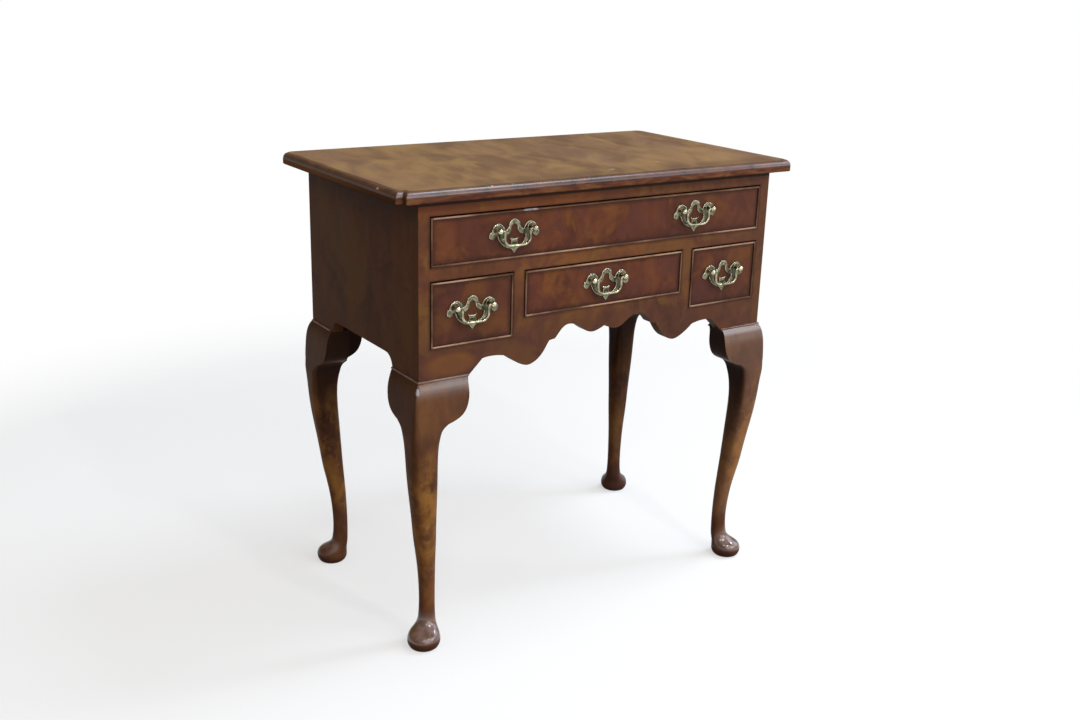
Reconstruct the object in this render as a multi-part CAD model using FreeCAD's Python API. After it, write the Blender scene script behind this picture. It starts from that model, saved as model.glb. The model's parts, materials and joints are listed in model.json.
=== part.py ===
import FreeCAD
import Part
import math
import os

# Lowboy on four cabriole legs, in millimetres.  +Z is up, +X runs across the front, the front faces -Y.
# The origin is on the floor, under the centre of the top board.

V = FreeCAD.Vector
tolerance = 1e-6

# ---------------------------------------------------------------- driving dimensions
case_width = 700.0
case_depth = 397.0
leg_height = 467.0             # floor to the lower corner of the case
board = 20.0                   # thickness of the front frame: stiles, rails, apron, dividers

top_thickness = 19.0
top_side_overhang = 41.0
top_front_overhang = 20.0
top_back_overhang = 29.0
top_notch = 11.5               # square step cut into each front corner of the top
top_back_radius = 22.0
top_lip = 8.5                  # height of the upright band of the moulded edge, with its lower arris
top_arris = 1.2
ovolo_width = 9.5
quirk = 0.5                    # small upright step between the ovolo and the flat of the top
ovolo_steps = 7

stile_width = 19.5
divider_width = 20.1
top_rail_height = 23.4
long_opening_height = 78.1
mid_rail_height = 21.1
side_opening_height = 105.9
centre_opening_height = 77.0
side_opening_width = 149.3
apron_height = 52.5            # under the side drawers, down to the lower corner of the case
apron_rise = 58.0              # highest point of the apron's lower edge above that corner

back_thickness = 10.0
back_inset = 2.0
dust_thickness = 12.0
arch_rise = 22.5               # height of the plain arch under the sides and the back
front_ear = 88.0               # from the case corner to the end of a front knee block and of its bead
back_ear = 84.0                # the same for a back knee block, which runs past its bead
back_bead = 75.0
knee_block_depth = 33.0
leg_block = 45.0               # the leg's square block, measured in from the case corner
stub_height = 34.0
knee_bead = 2.6                # the bead on the case above each knee stands this far out
knee_bead_height = 3.2

runner_width = 15.0
runner_height = 15.0
kicker_width = 25.0
glue_block = 16.0
glue_block_length = 40.0
glue_block_shares = (0.25, 0.65)  # places along the half width of those under the top
stop_width = 30.0
stop_height = 20.0
stop_gap = 0.4
screw_radius = 2.0
screw_head_radius = 4.2
screw_bite = 12.0
screw_edge = 45.0              # first and last top screw, from the ends of their kicker
screws_a_side = 3

drawer_recess = 1.0            # drawer face behind the face of the case
drawer_gap = 1.2               # at each side of a drawer front
drawer_top_gap = 2.2
drawer_floor_gap = 0.4         # under a drawer, over its runner
drawer_front = 20.0
drawer_side = 10.0
drawer_back = 9.0
drawer_rear_space = 10.0
drawer_bottom = 5.0
drawer_groove = 3.0
bottom_lift = 6.0              # underside of the drawer bottom above the lower edge of the sides
side_top_drop = 3.0            # drawer sides stop this far below the top of the front
bead_width = 3.2
bead_depth = 6.0
bead_proud = 2.6
bead_rounding = 0.46           # of the bead's width, at both corners of its nose
tail_depth = 12.0
tail_slope = 2.0
tail_pitch = 24.0
tail_least = 2                 # tails on a side, however low the drawer
pin_share = 0.2                # of a pitch, above and below each tail

handle_span = 64.0             # between the two posts of a handle
handle_rise = 7.9              # posts above the middle of the drawer opening
long_handle_inset = 168.0      # from the side of the case to the middle of an outer handle
plate_thickness = 1.8
post_shank_radius = 2.0
post_fit = 0.1
nut_radius = 5.0
nut_height = 4.0
collar_radius = 5.6
collar_height = 1.4
neck_radius = 3.4
ball_radius = 5.2
ball_stand = 9.2               # centre of the ball from the face of the back plate
pin_radius = 1.7
pin_clearance = 0.07
pin_end_gap = 0.4
bore_depth = 5.6
bail_radius = 2.3
bail_clearance = 0.5           # between the bail's arm and the ball
bail_bend = 2.9
bail_drop = 24.5
bail_corner = 12.5

# ---------------------------------------------------------------- places worked out from them
top_depth = top_front_overhang + case_depth + top_back_overhang
half_width = case_width / 2
front_y = top_front_overhang - top_depth / 2
back_y = front_y + case_depth
inner_y = front_y + board
back_panel_y = back_y - back_inset - back_thickness
case_z = leg_height

side_z0 = case_z + apron_height
low_z1 = side_z0 + side_opening_height
centre_z0 = low_z1 - centre_opening_height
long_z0 = low_z1 + mid_rail_height
long_z1 = long_z0 + long_opening_height
top_z = long_z1 + top_rail_height
side_x0 = -half_width + stile_width
side_x1 = side_x0 + side_opening_width
centre_x0 = side_x1 + divider_width
dust_z0 = long_z0 - dust_thickness


# ---------------------------------------------------------------- shape helpers
def box(x0, x1, y0, y1, z0, z1):
    return Part.makeBox(x1 - x0, y1 - y0, z1 - z0, V(x0, y0, z0))


def mirror_x(shape):
    return shape.mirror(V(0, 0, 0), V(1, 0, 0))


def fuse(shapes):
    solid = shapes[0]
    for other in shapes[1:]:
        solid = solid.fuse(other)
    return solid.removeSplitter()


def cut(solid, tools):
    for tool in tools:
        solid = solid.cut(tool)
    return solid


def line(a, b):
    return Part.LineSegment(a, b).toShape()


def arc(a, middle, b):
    return Part.Arc(a, middle, b).toShape()


def spline(points):
    curve = Part.BSplineCurve()
    curve.interpolate(points)
    return curve.toShape()


def prism(edges, direction):
    return Part.Face(Part.Wire(Part.__sortEdges__(edges))).extrude(direction)


def cylinder_y(x, z, radius, y0, y1):
    return Part.makeCylinder(radius, y1 - y0, V(x, y0, z), V(0, 1, 0))


def cylinder_x(y, z, radius, x0, x1):
    return Part.makeCylinder(radius, x1 - x0, V(x0, y, z), V(1, 0, 0))


def ring_y(x0, x1, z0, z1, width, y0, y1):
    """A flat rectangular frame lying in the front plane."""
    outer = box(x0, x1, y0, y1, z0, z1)
    return outer.cut(box(x0 + width, x1 - width, y0, y1, z0 + width, z1 - width))


def save(name, shape):
    solids = shape.Solids
    if not solids or not all(s.isValid() for s in solids):
        raise RuntimeError("bad shape: " + name)
    result = solids[0] if len(solids) == 1 else Part.makeCompound(solids)
    result.exportStep("parts/" + name + ".step")


# ---------------------------------------------------------------- top board
def top_outline(inset, z):
    """Outline of the top, drawn in by inset: stepped corners in front, round ones behind."""
    x = half_width + top_side_overhang - inset
    y0 = -top_depth / 2 + inset
    y1 = top_depth / 2 - inset
    radius = top_back_radius - inset
    slant = radius * (1 - math.sqrt(0.5))
    corners = [V(-x, y1 - radius, z), V(-x, y0 + top_notch, z), V(-x + top_notch, y0 + top_notch, z),
               V(-x + top_notch, y0, z), V(x - top_notch, y0, z), V(x - top_notch, y0 + top_notch, z),
               V(x, y0 + top_notch, z), V(x, y1 - radius, z)]
    edges = [line(a, b) for a, b in zip(corners, corners[1:])]
    right, left = V(x - radius, y1, z), V(-x + radius, y1, z)
    edges.append(arc(corners[-1], V(x - slant, y1 - slant, z), right))
    edges.append(line(right, left))
    edges.append(arc(left, V(-x + slant, y1 - slant, z), corners[0]))
    return Part.Wire(edges)


def top_screw_places():
    pitch = (back_panel_y - inner_y - 2 * screw_edge) / (screws_a_side - 1)
    x = half_width - stile_width - kicker_width / 2
    return [(side * x, inner_y + screw_edge + pitch * i) for side in (-1, 1) for i in range(screws_a_side)]


def top_board():
    curve_height = top_thickness - quirk - top_lip
    profile = [(0.0, top_arris), (top_arris, 0.0), (top_lip, 0.0)]
    for i in range(1, ovolo_steps + 1):
        angle = math.pi / 2 * i / ovolo_steps
        profile.append((top_lip + curve_height * math.sin(angle), ovolo_width * (1 - math.cos(angle))))
    profile.append((top_thickness, ovolo_width))
    slab = Part.makeLoft([top_outline(inset, top_z + height) for height, inset in profile], True, True)
    holes = [Part.makeCylinder(screw_radius, screw_bite, V(x, y, top_z)) for x, y in top_screw_places()]
    return cut(slab, holes)


# ---------------------------------------------------------------- carcass
def arched(length, lead, rear):
    """Lower edge of a side or back board, as (along, up) points: an arch with quarter-round ends."""
    slant = arch_rise * (1 - math.sqrt(0.5))
    return [(0, 0), (lead, 0), (lead + slant, arch_rise - slant), (lead + arch_rise, arch_rise),
            (length - rear - arch_rise, arch_rise), (length - rear - slant, arch_rise - slant),
            (length - rear, 0), (length, 0)]


def arched_board(place, length, lead, rear, direction):
    p = [place(s, case_z + h) for s, h in arched(length, lead, rear)]
    top = [place(length, top_z), place(0, top_z)]
    edges = [line(p[0], p[1]), arc(p[1], p[2], p[3]), line(p[3], p[4]), arc(p[4], p[5], p[6]),
             line(p[6], p[7]), line(p[7], top[0]), line(top[0], top[1]), line(top[1], p[0])]
    return prism(edges, direction)


def side_panel():
    lead = front_ear - board
    return arched_board(lambda s, z: V(-half_width, inner_y + s, z), case_depth - board,
                        lead, back_ear, V(stile_width, 0, 0))


def back_panel():
    ear = back_ear - stile_width
    return arched_board(lambda s, z: V(side_x0 + s, back_panel_y, z), case_width - 2 * stile_width,
                        ear, ear, V(0, back_thickness, 0))


# Lower edge of the apron: how far from the knee block (0) to the middle (1), and its share of the rise.
apron_ramp = [(0.0, 0.000), (0.042, 0.183), (0.097, 0.424)]
apron_plateau = [(0.097, 0.424), (0.18, 0.445), (0.267, 0.376)]
apron_lobe = [(0.267, 0.376), (0.295, 0.269), (0.333, 0.155), (0.379, 0.048), (0.42, 0.003), (0.466, 0.052),
              (0.504, 0.162), (0.538, 0.328), (0.564, 0.510), (0.58, 0.614)]
apron_cusp = (0.62, 0.638)
apron_arch = [apron_cusp, (0.645, 0.764), (0.675, 0.910), (0.706, 0.990), (0.738, 1.000), (0.775, 0.959),
              (0.824, 0.824), (0.866, 0.703), (0.905, 0.659), (0.952, 0.697), (1.0, 0.786)]


def apron():
    reach = half_width - front_ear

    def place(share, height, side):
        return V(side * reach * (1 - share), front_y, case_z + apron_rise * height)

    edges = []
    for side in (-1, 1):
        start = V(side * -side_x0, front_y, case_z)
        edges.append(line(start, place(0, 0, side)))
        for stretch in (apron_ramp, apron_plateau):
            edges.append(arc(*[place(*point, side) for point in stretch]))
        for stretch in (apron_lobe, apron_arch):
            edges.append(spline([place(*point, side) for point in stretch]))
        edges.append(line(place(*apron_lobe[-1], side), place(*apron_cusp, side)))
        low, step = side * -side_x0, side * -centre_x0
        edges += [line(start, V(low, front_y, side_z0)),
                  line(V(low, front_y, side_z0), V(step, front_y, side_z0)),
                  line(V(step, front_y, side_z0), V(step, front_y, centre_z0))]
    edges.append(line(V(centre_x0, front_y, centre_z0), V(-centre_x0, front_y, centre_z0)))
    return prism(edges, V(0, board, 0))


def kickers():
    """Strips that keep the drawers level: under the top, and under the dust board."""
    left = [box(side_x0, side_x0 + kicker_width, inner_y, back_panel_y, long_z1, top_z),
            box(side_x0, side_x0 + runner_width, inner_y, back_panel_y, low_z1, dust_z0)]
    for x, y in top_screw_places():
        if x < 0:
            left[0] = left[0].cut(Part.makeCylinder(screw_radius, top_rail_height, V(x, y, long_z1)))
            left[0] = left[0].cut(screw_head(x, y))
    return left + [mirror_x(s) for s in left]


def screw_head(x, y):
    rise = screw_head_radius - screw_radius
    return Part.makeCone(screw_head_radius, screw_radius, rise, V(x, y, long_z1))


def top_screws():
    length = top_rail_height + screw_bite
    return [Part.makeCylinder(screw_radius, length, V(x, y, long_z1)).fuse(screw_head(x, y))
            for x, y in top_screw_places()]


def partition():
    """Upright board behind each divider, between a side drawer and the centre drawer."""
    return box(side_x1, centre_x0, inner_y, back_panel_y, side_z0 - runner_height, dust_z0)


def runners():
    left = [box(side_x0, side_x0 + runner_width, inner_y, back_panel_y, side_z0 - runner_height, side_z0),
            box(side_x1 - runner_width, side_x1, inner_y, back_panel_y, side_z0 - runner_height, side_z0),
            box(centre_x0, centre_x0 + runner_width, inner_y, back_panel_y,
                centre_z0 - runner_height, centre_z0)]
    return left + [mirror_x(s) for s in left]


def wedge_block(x0, x1, y, z, toward_y, toward_z):
    """Triangular glue block along X, its right angle on the edge at (y, z)."""
    a = V(x0, y, z)
    b = V(x0, y + toward_y * glue_block, z)
    c = V(x0, y, z + toward_z * glue_block)
    return prism([line(a, b), line(b, c), line(c, a)], V(x1 - x0, 0, 0))


def glue_blocks():
    """Blocks under the top, and in the lower corners between each leg and the end of its knee block."""
    corner = -half_width + leg_block
    left = [wedge_block(corner, -half_width + front_ear, inner_y, case_z, 1, 1),
            wedge_block(corner, -half_width + back_ear, back_panel_y, case_z, -1, 1)]
    for share in glue_block_shares:
        x0 = -share * half_width - glue_block_length / 2
        x1 = x0 + glue_block_length
        left.append(wedge_block(x0, x1, inner_y, top_z, 1, -1))
        left.append(wedge_block(x0, x1, back_panel_y, top_z, -1, -1))
    return left + [mirror_x(s) for s in left]


# ---------------------------------------------------------------- legs
# Knee beside the knee blocks: depth below the case, outer face beyond the case corner, then the
# radii of the outer arris and of the inner corner.  The faces that carry the blocks stay flat.
knee_stations = [(0, 2.5, 1.0, 4.0), (8, 6.4, 1.6, 4.0), (20, 9.7, 3.0, 4.0), (40, 12.2, 5.5, 4.0),
                 (56, 13.5, 7.6, 4.0), (69, 14.0, 9.2, 4.0)]
knee_side_radius = 0.1
# Under the blocks: depth below the case, outer face, inner face inside the case corner, then the
# radii of the outer arris, of the two side corners and of the inner corner.
calf_stations = [(74, 14.4, 40.8, 9.8, 5.0, 4.0), (80, 14.8, 37.8, 10.7, 9.5, 4.5),
                 (88, 15.0, 36.0, 12.0, 12.5, 5.5), (105, 14.1, 33.6, 14.0, 14.0, 8.0)]
# Shank: share of the way from the ankle to the knee, outer and inner face, roundness of the section.
shank_stations = [(0.813, 11.0, 34.6, 0.78), (0.61, 3.5, 37.2, 0.88), (0.373, -5.9, 40.1, 0.95),
                  (0.17, -14.6, 42.2, 0.98)]
# Foot: height above the floor, centre in from the case corner, radius.
foot_stations = [(68, 29.6, 13.2), (52, 28.9, 13.9), (41, 27.4, 15.4), (33, 24.0, 19.0),
                 (26, 19.6, 24.0), (19, 17.4, 26.7), (12, 17.0, 27.3), (5, 17.0, 25.6), (0, 17.0, 21.0)]
foot_roundness = 0.985


def leg_section(z, outer, inner, r_outer, r_side, r_inner):
    """Square section with four rounded corners, for the front left leg."""
    x0, y0 = -half_width - outer, front_y - outer
    x1, y1 = -half_width + inner, front_y + inner
    corners = [(x0, y0, 1, 1, r_outer), (x1, y0, -1, 1, r_side),
               (x1, y1, -1, -1, r_inner), (x0, y1, 1, -1, r_side)]
    arcs = []
    for i, (x, y, sx, sy, r) in enumerate(corners):
        slant = r * (1 - math.sqrt(0.5))
        along_x, along_y = V(x + sx * r, y, z), V(x, y + sy * r, z)
        ends = (along_y, along_x) if i % 2 == 0 else (along_x, along_y)
        arcs.append((ends[0], V(x + sx * slant, y + sy * slant, z), ends[1]))
    edges = []
    for this, following in zip(arcs, arcs[1:] + arcs[:1]):
        edges += [arc(*this), line(this[2], following[0])]
    return Part.Wire(edges)


def knee_sections():
    return [(leg_height - depth, outer, leg_block, arris, knee_side_radius, inner)
            for depth, outer, arris, inner in knee_stations]


def shank_sections():
    sections = knee_sections()[-1:] + [(leg_height - depth, *rest) for depth, *rest in calf_stations]
    ankle, knee = foot_stations[0][0], leg_height - calf_stations[-1][0]
    for share, outer, inner, roundness in shank_stations:
        radius = roundness * (outer + inner) / 2
        sections.append((ankle + share * (knee - ankle), outer, inner, radius, radius, radius))
    for height, centre, radius in foot_stations:
        corner = radius * foot_roundness
        sections.append((height, radius - centre, radius + centre, corner, corner, corner))
    return sections


def leg(front):
    solid = fuse([Part.makeLoft([leg_section(*s) for s in sections], True, False)
                  for sections in (knee_sections(), shank_sections())])
    if not front:
        solid = solid.mirror(V(0, (front_y + back_y) / 2, 0), V(0, 1, 0))
    y0, y1 = (inner_y, front_y + leg_block) if front else (back_y - leg_block, back_panel_y)
    stub = box(side_x0, -half_width + leg_block, y0, y1, case_z, case_z + stub_height)
    return fuse([solid, stub])


# Knee block: distance out from the leg block as a share of its reach, and depth below the case.
ear_curve = [(0.96, 0), (0.912, 9), (0.908, 24), (0.865, 37), (0.76, 49), (0.6, 57.5), (0.36, 63.8),
             (0.14, 67.3), (0.0, knee_stations[-1][0])]


def knee_block(reach):
    """Front left knee block under the apron, its face in line with the leg's."""
    x0 = -half_width + leg_block
    span = reach - leg_block
    bulge = max(s[1] for s in knee_stations)
    y0 = front_y - 2 * bulge
    outline = [V(x0 + share * span, y0, case_z - depth) for share, depth in ear_curve]
    corner = V(x0, y0, case_z)
    edges = [spline(outline), line(outline[-1], corner), line(corner, outline[0])]
    pattern = prism(edges, V(0, 2 * bulge + knee_block_depth, 0))
    face = [V(x0, front_y - s[1], case_z - s[0]) for s in knee_stations]
    low, high = V(x0, front_y + knee_block_depth, face[-1].z), V(x0, front_y + knee_block_depth, case_z)
    edges = [spline(face), line(face[-1], low), line(low, high), line(high, face[0])]
    return pattern.common(prism(edges, V(2 * span, 0, 0)))


def swap_faces(shape, corner_x, corner_y):
    """Turn a block on the front face into its twin on the side face, about the corner's diagonal."""
    return shape.mirror(V(corner_x, corner_y, 0), V(1, -1, 0))


def knee_blocks(front):
    across = knee_block(front_ear if front else back_ear)
    pair = [across, swap_faces(across, -half_width, front_y)]
    if not front:
        middle = V(0, (front_y + back_y) / 2, 0)
        pair = [s.mirror(middle, V(0, 1, 0)) for s in pair]
    return pair + [mirror_x(s) for s in pair]


def bead_bar(length):
    """Half-round bead along +X from the origin, standing out towards -Y."""
    r = knee_bead_height / 2
    flat = knee_bead - r
    a, b = V(0, 0, 0), V(0, -flat, 0)
    c, d = V(0, -flat, knee_bead_height), V(0, 0, knee_bead_height)
    edges = [line(a, b), arc(b, V(0, -knee_bead, r), c), line(c, d), line(d, a)]
    return prism(edges, V(length, 0, 0))


def knee_beads():
    """Beads on the case just above the knees: mitred round the front corners, straight at the back."""
    bar = bead_bar(front_ear + knee_bead)
    bar.translate(V(-half_width - knee_bead, front_y, case_z))
    mitre = prism([line(V(-half_width - knee_bead, front_y - knee_bead, case_z),
                        V(-half_width + front_ear, front_y - knee_bead, case_z)),
                   line(V(-half_width + front_ear, front_y - knee_bead, case_z),
                        V(-half_width + front_ear, front_y + front_ear, case_z)),
                   line(V(-half_width + front_ear, front_y + front_ear, case_z),
                        V(-half_width - knee_bead, front_y - knee_bead, case_z))],
                  V(0, 0, knee_bead_height))
    across = bar.common(mitre)
    corner = fuse([across, swap_faces(across, -half_width, front_y)])
    straight = bead_bar(back_bead)
    straight.rotate(V(0, 0, 0), V(0, 0, 1), -90)
    straight.translate(V(-half_width, back_y, case_z))
    left = [corner, straight]
    return left + [mirror_x(s) for s in left]


# ---------------------------------------------------------------- drawers
def drawer_box(x0, x1, z0, z1):
    """Outer limits of a drawer in its opening."""
    return {"x0": x0 + drawer_gap, "x1": x1 - drawer_gap,
            "y0": front_y + drawer_recess, "y1": back_panel_y - drawer_rear_space,
            "z0": z0 + drawer_floor_gap, "z1": z1 - drawer_top_gap}


def side_tails(d):
    """Lapped dovetails at the front end of the left side, flared towards the face."""
    joint = d["y0"] + drawer_front
    z0, z1 = d["z0"], d["z1"] - side_top_drop
    count = max(tail_least, int((z1 - z0) / tail_pitch))
    pitch = (z1 - z0) / count
    tails = []
    for i in range(count):
        low, high = z0 + (i + pin_share) * pitch, z0 + (i + 1 - pin_share) * pitch
        p = [V(d["x0"], joint, low), V(d["x0"], joint - tail_depth, low - tail_slope),
             V(d["x0"], joint - tail_depth, high + tail_slope), V(d["x0"], joint, high)]
        edges = [line(a, b) for a, b in zip(p, p[1:] + p[:1])]
        tails.append(prism(edges, V(drawer_side, 0, 0)))
    return tails


def shift_mirror(shape, d):
    return shape.mirror(V((d["x0"] + d["x1"]) / 2, 0, 0), V(1, 0, 0))


def bottom_panel(d):
    return box(d["x0"] + drawer_side - drawer_groove, d["x1"] - drawer_side + drawer_groove,
               d["y0"] + drawer_front - drawer_groove, d["y1"],
               d["z0"] + bottom_lift, d["z0"] + bottom_lift + drawer_bottom)


def drawer_pieces(d, handles):
    joint = d["y0"] + drawer_front
    top = d["z1"] - side_top_drop
    tails = side_tails(d)
    bottom = bottom_panel(d)
    front = box(d["x0"], d["x1"], d["y0"], joint, d["z0"], d["z1"])
    rebate = ring_y(d["x0"], d["x1"], d["z0"], d["z1"], bead_width, d["y0"], d["y0"] + bead_depth)
    holes = [cylinder_y(x + side * handle_span / 2, z, post_shank_radius + post_fit, d["y0"], joint)
             for x, z in handles for side in (-1, 1)]
    front = cut(front, [rebate, bottom] + tails + [shift_mirror(t, d) for t in tails] + holes)
    side = fuse([box(d["x0"], d["x0"] + drawer_side, joint, d["y1"], d["z0"], top)] + tails).cut(bottom)
    back = box(d["x0"] + drawer_side, d["x1"] - drawer_side, d["y1"] - drawer_back, d["y1"],
               d["z0"] + bottom_lift + drawer_bottom, top)
    return {"front": [front], "sides": [side, shift_mirror(side, d)], "back": [back],
            "bottom": [bottom], "cock_bead": [cock_bead(d)]}


def cock_bead(d):
    """Frame let into the edges of the drawer front, its nose rounded and proud of the face."""
    y0 = d["y0"] - bead_proud
    frame = ring_y(d["x0"], d["x1"], d["z0"], d["z1"], bead_width, y0, d["y0"] + bead_depth)
    nose = [e for e in frame.Edges if max(abs(e.BoundBox.YMin - y0), abs(e.BoundBox.YMax - y0)) < tolerance]
    return frame.makeFillet(bead_width * bead_rounding, nose)


def drawer_stops(boxes):
    stops = []
    for d in boxes:
        middle = (d["z0"] + d["z1"]) / 2
        for x in (d["x0"] + stop_width, d["x1"] - stop_width):
            stops.append(box(x - stop_width / 2, x + stop_width / 2, d["y1"] + stop_gap, back_panel_y,
                             middle - stop_height / 2, middle + stop_height / 2))
    return stops


# ---------------------------------------------------------------- handles
# Back plate outline, right half, from the top down: arcs as (middle, end) and lines as (end,).
plate_edge = [((6.2, 13.2), (9.6, 8.4)), ((11.4, 2.6), (17.2, -1.6)), ((18.3, 2.2), (20.9, 5.6)),
              ((31.4, 9.8), (40.6, 0.6)), ((41.4, -2.4),), ((45.6, -8.6), (39.6, -14.4)),
              ((36.6, -12.8), (34.4, -9.2)), ((30.6, -9.6),), ((24.4, -21.4), (10.4, -29.8)),
              ((5.8, -31.2),), ((3.0, -34.6), (0.0, -38.8))]
plate_top = (0.0, 15.6)
# The piercing, right half, from the top down to the top of the little cup.
piercing_edge = [((4.4, 5.8), (5.6, 1.4)), ((8.6, -5.4), (14.4, -9.2)), ((20.6, -9.4),),
                 ((19.4, -17.2), (13.4, -24.4)), ((7.6, -25.4),), ((5.4, -20.8), (8.4, -13.6)),
                 ((4.2, -15.2), (0.0, -15.6))]
piercing_top = (0.0, 7.4)


def half_outline(start, steps, side, place):
    edges = []
    here = start
    for step in steps:
        points = [place(side * x, z) for x, z in (here,) + step]
        edges.append(line(*points) if len(points) == 2 else arc(*points))
        here = step[-1]
    return edges


def mirrored_prism(start, steps, place, direction):
    edges = []
    for side in (-1, 1):
        edges += half_outline(start, steps, side, place)
    return prism(edges, direction)


def backplate(x, z, face):
    def place(u, w):
        return V(x + u, face, z + w)

    out = V(0, -plate_thickness, 0)
    plate = mirrored_prism(plate_top, plate_edge, place, out)
    plate = plate.cut(mirrored_prism(piercing_top, piercing_edge, place, out))
    holes = [cylinder_y(x + side * handle_span / 2, z, post_shank_radius + post_fit,
                        face - plate_thickness, face) for side in (-1, 1)]
    return cut(plate, holes)


def post(x, z, face, inside, toward):
    """One post with its ball and blind bore, and its nut behind the drawer front."""
    seat = face - plate_thickness
    centre = seat - ball_stand
    shank = cylinder_y(x, z, post_shank_radius, seat, inside + nut_height + post_shank_radius)
    collar = cylinder_y(x, z, collar_radius, seat - collar_height, seat)
    neck = cylinder_y(x, z, neck_radius, centre, seat)
    ball = Part.makeSphere(ball_radius, V(x, centre, z))
    ends = sorted((x + toward * ball_radius, x + toward * (ball_radius - bore_depth)))
    bore = cylinder_x(centre, z, pin_radius + pin_clearance, *ends)
    nut = cylinder_y(x, z, nut_radius, inside, inside + nut_height)
    nut = nut.cut(cylinder_y(x, z, post_shank_radius + post_fit, inside, inside + nut_height))
    return [fuse([shank, collar, neck, ball]).cut(bore), nut]


def bail(x, z, face):
    """Hanging bail: two pins in the balls' bores, arms bent down, a round-cornered loop."""
    y = face - plate_thickness - ball_stand
    half = handle_span / 2
    arm = half - ball_radius - bail_clearance
    side_x = arm - bail_bend
    turn = 1 - math.sqrt(0.5)

    def place(u, w):
        return V(x + u, y, z + w)

    def arm_path(s):
        return [arc(place(s * arm, 0), place(s * (side_x + bail_bend * turn), -bail_bend * turn),
                    place(s * side_x, -bail_bend)),
                line(place(s * side_x, -bail_bend), place(s * side_x, -bail_drop + bail_corner)),
                arc(place(s * side_x, -bail_drop + bail_corner),
                    place(s * (side_x - bail_corner * turn), -bail_drop + bail_corner * turn),
                    place(s * (side_x - bail_corner), -bail_drop))]

    left, right = arm_path(-1), arm_path(1)
    foot = line(place(-side_x + bail_corner, -bail_drop), place(side_x - bail_corner, -bail_drop))
    path = Part.Wire(left + [foot] + right[::-1])
    section = Part.Wire(Part.makeCircle(bail_radius, place(-arm, 0), V(1, 0, 0)))
    loop = path.makePipeShell([section], True, False)
    inner_end = half - ball_radius + bore_depth - pin_end_gap
    pins = [cylinder_x(y, z, pin_radius, *sorted((x + s * arm, x + s * inner_end))) for s in (-1, 1)]
    return fuse([loop] + pins)


# ---------------------------------------------------------------- assembly
def build_carcass(boxes):
    left = {
        "side_panel": side_panel(),
        "stile": box(-half_width, side_x0, front_y, inner_y, case_z, top_z),
        "divider": box(side_x1, centre_x0, front_y, inner_y, side_z0, low_z1),
        "leg_front": leg(True),
        "leg_back": leg(False),
    }
    for name, shape in left.items():
        save(name + "_left", shape)
        save(name + "_right", mirror_x(shape))
    save("top_board", top_board())
    save("back_panel", back_panel())
    save("top_rail", box(side_x0, -side_x0, front_y, inner_y, long_z1, top_z))
    save("mid_rail", box(side_x0, -side_x0, front_y, inner_y, low_z1, long_z0))
    save("front_apron", apron())
    save("dust_board", box(side_x0, -side_x0, inner_y, back_panel_y, dust_z0, long_z0))
    groups = {
        "partitions": [partition(), mirror_x(partition())],
        "drawer_runners": runners(),
        "kickers": kickers(),
        "glue_blocks": glue_blocks(),
        "top_screws": top_screws(),
        "drawer_stops": drawer_stops(boxes),
        "knee_blocks_front": knee_blocks(True),
        "knee_blocks_back": knee_blocks(False),
        "knee_beads": knee_beads(),
    }
    for name, solids in groups.items():
        save(name, Part.makeCompound(solids))


def build_drawer(name, d, handles):
    for piece, solids in drawer_pieces(d, [place for _, place in handles]).items():
        save(name + "_drawer_" + piece, Part.makeCompound(solids))
    posts = []
    inside = d["y0"] + drawer_front
    for handle, (x, z) in handles:
        save(handle + "_backplate", backplate(x, z, d["y0"]))
        save(handle + "_bail", bail(x, z, d["y0"]))
        for side in (-1, 1):
            posts += post(x + side * handle_span / 2, z, d["y0"], inside, -side)
    save(name + "_drawer_posts", Part.makeCompound(posts))


def main():
    os.makedirs("parts", exist_ok=True)
    openings = {
        "long": (side_x0, -side_x0, long_z0, long_z1),
        "left": (side_x0, side_x1, side_z0, low_z1),
        "centre": (centre_x0, -centre_x0, centre_z0, low_z1),
        "right": (-side_x1, -side_x0, side_z0, low_z1),
    }
    long_x = half_width - long_handle_inset
    handle_x = {"long": [("long_left", -long_x), ("long_right", long_x)]}
    boxes = {}
    for name, (x0, x1, z0, z1) in openings.items():
        boxes[name] = drawer_box(x0, x1, z0, z1)
        handle_x.setdefault(name, [(name, (x0 + x1) / 2)])
    build_carcass(boxes.values())
    for name, (x0, x1, z0, z1) in openings.items():
        rise = (z0 + z1) / 2 + handle_rise
        build_drawer(name, boxes[name], [(handle, (x, rise)) for handle, x in handle_x[name]])


main()
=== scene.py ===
import json
import math

import bmesh
import bpy
from mathutils import Matrix, Vector

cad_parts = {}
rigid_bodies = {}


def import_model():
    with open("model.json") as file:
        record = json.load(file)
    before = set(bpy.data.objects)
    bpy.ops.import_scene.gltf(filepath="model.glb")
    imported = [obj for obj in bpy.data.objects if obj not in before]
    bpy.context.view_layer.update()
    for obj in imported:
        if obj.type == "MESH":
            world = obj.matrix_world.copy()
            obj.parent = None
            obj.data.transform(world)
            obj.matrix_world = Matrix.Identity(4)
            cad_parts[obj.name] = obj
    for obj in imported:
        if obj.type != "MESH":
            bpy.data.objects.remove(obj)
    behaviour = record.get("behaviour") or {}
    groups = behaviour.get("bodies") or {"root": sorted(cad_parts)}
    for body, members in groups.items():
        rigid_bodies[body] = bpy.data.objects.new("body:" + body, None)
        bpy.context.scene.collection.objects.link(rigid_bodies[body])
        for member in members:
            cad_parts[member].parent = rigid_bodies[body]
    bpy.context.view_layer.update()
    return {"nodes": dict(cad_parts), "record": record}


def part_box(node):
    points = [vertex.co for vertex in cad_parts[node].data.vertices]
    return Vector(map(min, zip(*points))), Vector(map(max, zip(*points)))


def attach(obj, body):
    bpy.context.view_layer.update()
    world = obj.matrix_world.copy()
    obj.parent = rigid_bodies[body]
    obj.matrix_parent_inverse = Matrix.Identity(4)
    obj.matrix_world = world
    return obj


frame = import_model()
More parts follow.
